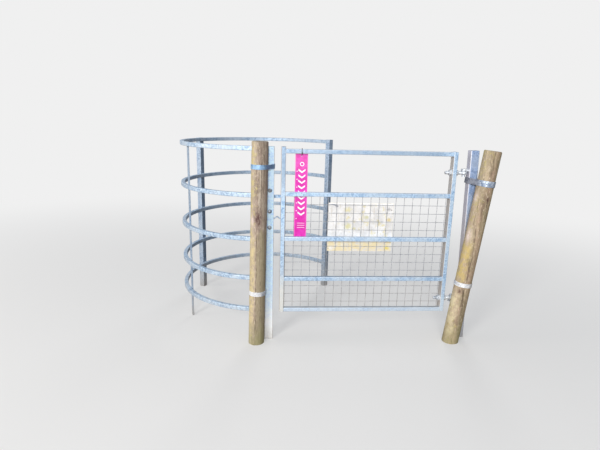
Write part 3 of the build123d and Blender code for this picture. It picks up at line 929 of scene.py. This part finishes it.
# Weld beads where the steel pieces meet
def rectangle(centre, first, second):
    centre, first, second = Vector(centre), Vector(first), Vector(second)
    return [centre - first - second, centre + first - second,
            centre + first + second, centre - first + second]


def leaf_welds():
    made = Build()
    for number in range(1, 6):
        low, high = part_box(f"rail_{number}")
        middle = (low + high) / 2
        half_depth = (0, (high.y - low.y) / 2, 0)
        half_height = (0, 0, (high.z - low.z) / 2)
        for x, way in ((low.x, 1), (high.x, -1)):
            loop = rectangle((x + way * 0.3 * MM, middle.y, middle.z), half_depth, half_height)
            made.bead(loop, (1, 0, 0), 1.5 * MM, closed=True)

    # The stops on the back of the closing stile
    low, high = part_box("closing_stile")
    start, end, back = low.x + 2 * MM, high.x - 3 * MM, high.y + 0.4 * MM
    bar_low, bar_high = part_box("stop_bar")
    bent_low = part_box("bent_stop")[0].z
    for z in (bar_low.z, bar_high.z, bent_low, bent_low + 8 * MM):
        made.bead([(start, back, z), (end, back, z)], (0, 1, 0), 1.6 * MM)

    # The blob on top of the hinge stile
    low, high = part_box("hinge_stile")
    x, z = low.x + 4 * MM, high.z + 0.5 * MM
    made.bead([(x, low.y + 6 * MM, z), (x, low.y + 22 * MM, z)], (0, 0, 1), 3.4 * MM)
    made.piece("leaf_welds", weld, "leaf", "galvanised_steel")


def ring_ways(angle):
    """The ways out from the centre and on round the ring at an angle in degrees."""
    turn = math.radians(angle)
    right = Vector((1, 0, 0))
    outward = right * math.cos(turn) + RING_BACK * math.sin(turn)
    return outward, RING_BACK * math.cos(turn) - right * math.sin(turn)


def frame_welds():
    made = Build()
    size = 1.6 * MM
    post_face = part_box("closing_post")[0].x - 0.2 * MM
    hoop_end_y = RING_CENTRE.y - RING_RADIUS
    for number in range(1, 6):
        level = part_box(f"hoop_{number}")[0].z + RING_HALF
        middle = RING_CENTRE + RING_UP * level
        up = RING_UP * RING_HALF
        end_y = hoop_end_y - level * math.sin(RING_LEAN)
        made.bead(rectangle((post_face, end_y, level), (0, RING_HALF, 0), up), (1, 0, 0), size, closed=True)

        outward, onward = ring_ways(REAR_POST_ANGLE)
        place = middle + outward * RING_RADIUS + onward * 20.2 * MM
        made.bead(rectangle(place, outward * RING_HALF, up), onward, size, closed=True)

        # The back upright stands outside the hoops and ends level with the first, so has no upper weld on it
        outward, onward = ring_ways(BACK_UPRIGHT_ANGLE)
        face = middle + outward * (RING_RADIUS + RING_HALF)
        half_weld = onward * 14 * MM
        for edge in (-1, 1) if number > 1 else (-1,):
            made.bead([face + half_weld + up * edge, face - half_weld + up * edge], RING_UP, 1.7 * MM)

        # The side upright stands inside the hoops
        outward, onward = ring_ways(SIDE_UPRIGHT_ANGLE)
        face = middle + outward * (RING_RADIUS - RING_HALF)
        for edge in (-1, 1):
            side = face + onward * edge * 10 * MM
            made.bead([side - up * 0.85, side + up * 0.85], outward, size)
    made.piece("frame_welds", weld, "frame", "galvanised_steel")


leaf_welds()
frame_welds()


# Cable tie's head low in front of the top rail, and its short end on top
def tie_head():
    low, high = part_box("tag_tie")
    rail_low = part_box("rail_1")[0]
    middle = (low.x + high.x) / 2
    made = Build()

    def block(centre, half):
        """A block round a centre, narrower at its top and foot."""
        end_width, corner_cut = 0.8, 0.92
        rings = []
        for share, width in ((-1, end_width), (-0.7, 1.0), (0.7, 1.0), (1, end_width)):
            ring = []
            for i in range(16):
                turn = 2 * math.pi * (i + 0.5) / 16
                push = corner_cut * width / max(abs(math.cos(turn)), abs(math.sin(turn)))
                ring.append((centre[0] + half[0] * math.cos(turn) * push,
                             centre[1] + half[1] * math.sin(turn) * push, centre[2] + half[2] * share))
            rings.append(ring)
        made.grid(rings)

    block((middle, low.y - 1.2 * MM, rail_low.z + 5.5 * MM), (3 * MM, 2.2 * MM, 3.4 * MM))
    block((middle, rail_low.y + 4 * MM, high.z + 1 * MM), (2.6 * MM, 3.4 * MM, 1.8 * MM))
    made.piece("tag_tie_head", nylon, "leaf", "tie_nylon")


tie_head()


# Stage, light and camera
def stage():
    """A pale floor just under the gate, that fades into the background with distance."""
    size = 14
    corners = [(-size, -size, 0), (size, -size, 0), (size, size, 0), (-size, size, 0)]
    data = bpy.data.meshes.new("floor")
    data.from_pydata(corners, [], [(0, 1, 2, 3)])
    floor = bpy.data.objects.new("floor", data)
    bpy.context.scene.collection.objects.link(floor)
    floor.location.z = -0.5 * MM
    m = Material("pale_floor", roughness=0.9, specular=0.1)
    seen = m.node("LightPath").outputs["Is Camera Ray"]
    m.feed("Base Color", m.mix(seen, colour(150, 132, 114), colour(236, 235, 233)))
    reach = m.node("VectorMath", {0: m.place}, operation="LENGTH").outputs["Value"]
    fade = m.times(m.band(reach, 1.0, 6.0, 0.35, 1.0), seen)
    glow = m.node("Emission", {"Color": BACKGROUND, "Strength": 1.0})
    blend = m.node("MixShader", {0: fade, 1: m.shader.outputs[0], 2: glow.outputs[0]})
    m.tree.links.new(blend.outputs[0], m.tree.nodes["Material Output"].inputs["Surface"])
    data.materials.append(m.made)


def sky():
    """A pale background, and a dimmer, cooler sky that lights the gate."""
    world = bpy.data.worlds.new("studio")
    bpy.context.scene.world = world
    world.use_nodes = True
    world.node_tree.nodes.clear()
    t = Tree(world.node_tree)
    rays = t.node("LightPath").outputs
    direct = t.larger(rays["Is Camera Ray"], rays["Is Transmission Ray"])
    seen = t.larger(direct, t.times(rays["Is Glossy Ray"], 0.6))
    light = t.node("Background", {"Color": colour(226, 234, 246), "Strength": 0.34})
    pale = t.node("Background", {"Color": BACKGROUND, "Strength": 1.0})
    blend = t.node("MixShader", {0: seen, 1: light.outputs[0], 2: pale.outputs[0]})
    t.node("OutputWorld", {"Surface": blend.outputs[0]})


def lamp(name, place, size, power, tint, glossy=True):
    data = bpy.data.lights.new(name, "AREA")
    data.shape = "DISK"
    data.size = size
    data.energy = power
    data.color = tint
    made = bpy.data.objects.new(name, data)
    bpy.context.scene.collection.objects.link(made)
    made.visible_glossy = glossy
    made.location = place
    made.rotation_euler = (LAMP_AIM - Vector(place)).to_track_quat("-Z", "Y").to_euler()


def camera():
    data = bpy.data.cameras.new("camera")
    data.lens = LENS
    data.sensor_width = SENSOR
    data.sensor_fit = "HORIZONTAL"
    made = bpy.data.objects.new("camera", data)
    bpy.context.scene.collection.objects.link(made)
    turn = Matrix((CAMERA_RIGHT, -CAMERA_DOWN, -CAMERA_FORWARD)).transposed().to_4x4()
    made.matrix_world = Matrix.Translation(CAMERA_PLACE) @ turn
    bpy.context.scene.camera = made


stage()
sky()
lamp("key", (-4.6, -6.8, 3.8), 2.6, 430, WARM_WHITE)
lamp("front", (-0.7, -8.8, 2.7), 2.6, 470, WARM_WHITE)
lamp("left", (-6.0, -0.4, 2.2), 2.4, 80, (1.0, 0.92, 0.84))
lamp("back", (2.4, 7.8, 2.4), 3.0, 230, (1.0, 0.99, 0.98), glossy=False)
camera()
bpy.context.scene.view_settings.view_transform = "Standard"
